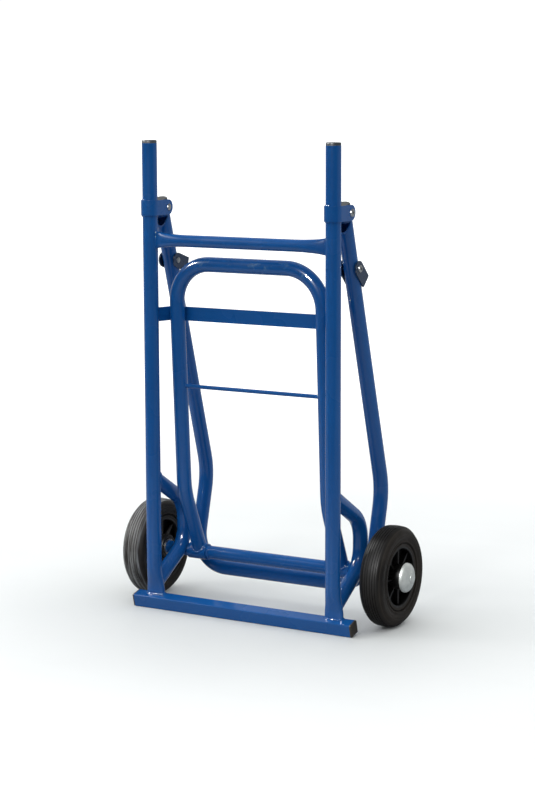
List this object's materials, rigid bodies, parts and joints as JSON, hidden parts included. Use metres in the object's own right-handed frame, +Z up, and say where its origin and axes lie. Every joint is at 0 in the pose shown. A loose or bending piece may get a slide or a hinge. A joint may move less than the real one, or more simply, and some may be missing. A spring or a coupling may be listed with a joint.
{
  "type": "convertible hand truck",
  "caption": "Tubular steel hand truck on two wheels, with a toe loop that folds up against the frame and a long bent handle that folds down behind it.",
  "frame": {"origin": "on the floor under the middle of the parked truck's outline", "axes": "+Z up the uprights, +Y horizontally from the front bar towards the rear, +X to the right as seen from the front; drawn parked, toe loop folded up and handle folded down"},
  "size_m": [0.643, 0.2343, 0.946],
  "materials": {
    "paint": "gloss",
    "black_plastic": "satin",
    "rim_plastic": "satin",
    "tyre_rubber": "matte",
    "zinc": "zinc plated",
    "axle_steel": "bare",
    "cap_metal": "bright zinc",
    "bush_steel": "bare"
  },
  "bodies": {
    "frame": {"left_upright": "paint", "right_upright": "paint", "front_bar": "paint", "front_bar_plugs": "black_plastic", "upright_plugs": "black_plastic", "upper_cross_tube": "paint", "strap_crossbar": "paint", "left_handle_bracket": "paint", "right_handle_bracket": "paint", "left_wheel_bracket": "paint", "right_wheel_bracket": "paint", "axle_tube": "paint", "axle_rod": "axle_steel", "axle_washers": "zinc", "hub_caps": "cap_metal", "pivot_bolts": "zinc", "pivot_nuts": "zinc"},
    "handle": {"handle_tube": "paint", "handle_plugs": "black_plastic", "latch_bolts": "zinc", "latch_nuts": "zinc"},
    "left_latch_body": {"left_latch": "paint"},
    "right_latch_body": {"right_latch": "paint"},
    "toe_frame": {"toe_loop": "paint", "toe_sleeves": "paint", "toe_rod": "paint"},
    "left_wheel": {"left_tyre": "tyre_rubber", "left_rim": "rim_plastic", "left_hub_bush": "bush_steel"},
    "right_wheel": {"right_tyre": "tyre_rubber", "right_rim": "rim_plastic", "right_hub_bush": "bush_steel"}
  },
  "joints": [
    {"name": "handle_fold", "type": "hinge", "parent": "frame", "child": "handle", "pos_m": [0, -0.0592, 0.813], "axis": [1, 0, 0], "range_deg": [0, 163]},
    {"name": "toe_fold", "type": "hinge", "parent": "frame", "child": "toe_frame", "pos_m": [0, 0.0147, 0.1], "axis": [1, 0, 0], "range_deg": [0, 89]},
    {"name": "left_latch_swing", "type": "hinge", "parent": "handle", "child": "left_latch_body", "pos_m": [-0.206, -0.02714, 0.70464], "axis": [1, 0, 0], "range_deg": [-27, 0]},
    {"name": "right_latch_swing", "type": "hinge", "parent": "handle", "child": "right_latch_body", "pos_m": [0.206, -0.02714, 0.70464], "axis": [1, 0, 0], "range_deg": [0, 27]},
    {"name": "left_wheel_spin", "type": "hinge", "parent": "frame", "child": "left_wheel", "pos_m": [-0.275, 0.0147, 0.1], "axis": [1, 0, 0], "continuous": true},
    {"name": "right_wheel_spin", "type": "hinge", "parent": "frame", "child": "right_wheel", "pos_m": [0.275, 0.0147, 0.1], "axis": [1, 0, 0], "continuous": true}
  ]
}
